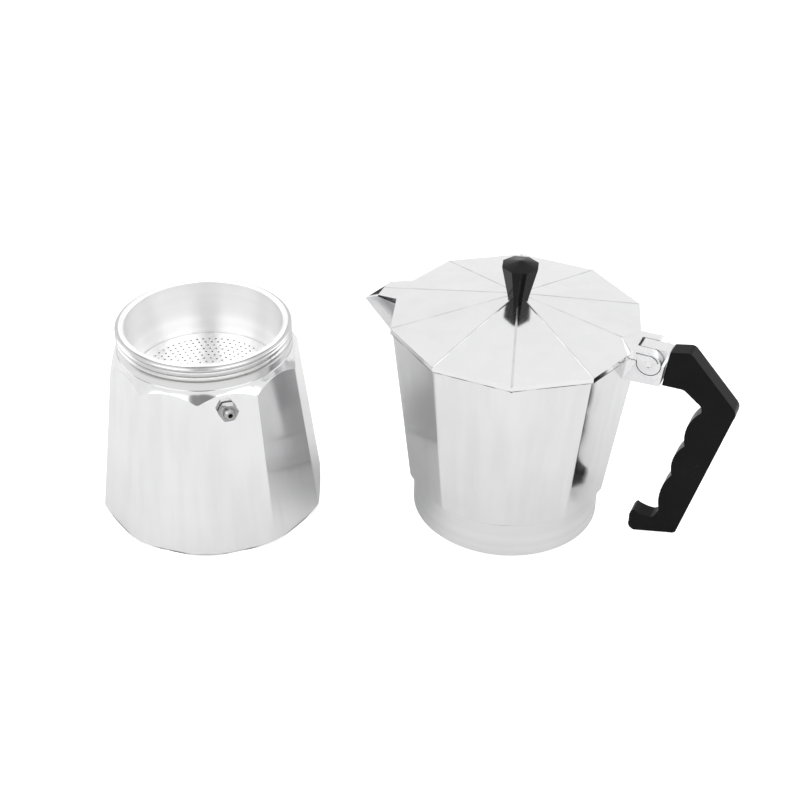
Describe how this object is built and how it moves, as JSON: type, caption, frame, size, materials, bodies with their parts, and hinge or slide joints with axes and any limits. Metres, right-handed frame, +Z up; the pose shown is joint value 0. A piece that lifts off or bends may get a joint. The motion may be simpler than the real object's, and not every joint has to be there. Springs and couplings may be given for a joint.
{
  "type": "moka pot",
  "caption": "Ten-sided aluminium stovetop moka pot, unscrewed: boiler with funnel basket and safety valve beside a lidded jug with spout and black handle.",
  "frame": {"origin": "centre of the boiler's foot, on the surface it stands on", "axes": "+Z up along the boiler's axis; +X from the boiler towards the jug; the handle points 21.6 degrees clockwise of +X seen from above"},
  "size_m": [0.3812, 0.1518, 0.1719],
  "materials": {
    "cast_aluminium": "polished",
    "sheet_aluminium": "satin, spun",
    "steel": "turned",
    "brass": "turned",
    "rubber": "matt, off-white",
    "fibre": "matt",
    "black_plastic": "moulded, satin"
  },
  "bodies": {
    "boiler_body": {"boiler": "cast_aluminium", "valve_body": "steel", "valve_washer": "fibre", "valve_seat": "brass", "valve_spring": "steel"},
    "funnel": {"funnel_basket": "sheet_aluminium", "basket_sieve": "sheet_aluminium", "funnel_stem": "sheet_aluminium"},
    "poppet": {"valve_poppet": "brass"},
    "jug_body": {"jug": "cast_aluminium", "riser_column": "cast_aluminium", "gasket": "rubber", "filter_plate": "sheet_aluminium", "hinge_pin": "sheet_aluminium", "handle": "black_plastic", "handle_pin": "sheet_aluminium"},
    "lid_body": {"lid": "cast_aluminium", "lid_knob": "black_plastic", "knob_screw": "steel", "knob_washer": "steel"}
  },
  "joints": [
    {"name": "jug_lift", "type": "slide", "parent": "boiler_body", "child": "jug_body", "axis": [0, 0, 1], "range_m": [0, 0.15]},
    {"name": "funnel_lift", "type": "slide", "parent": "boiler_body", "child": "funnel", "axis": [0, 0, 1], "range_m": [0, 0.12]},
    {"name": "valve_slide", "type": "slide", "parent": "boiler_body", "child": "poppet", "axis": [0.367, -0.9222, 0.1222], "range_m": [0, 0.0012], "stiffness_N_per_m": 400, "springref_m": -0.002, "deforming": ["valve_spring"]},
    {"name": "lid_hinge", "type": "hinge", "parent": "jug_body", "child": "lid_body", "pos_m": [0.26304, -0.0307, 0.1307], "axis": [0.3681, 0.9298, 0], "range_deg": [0, 100]}
  ]
}
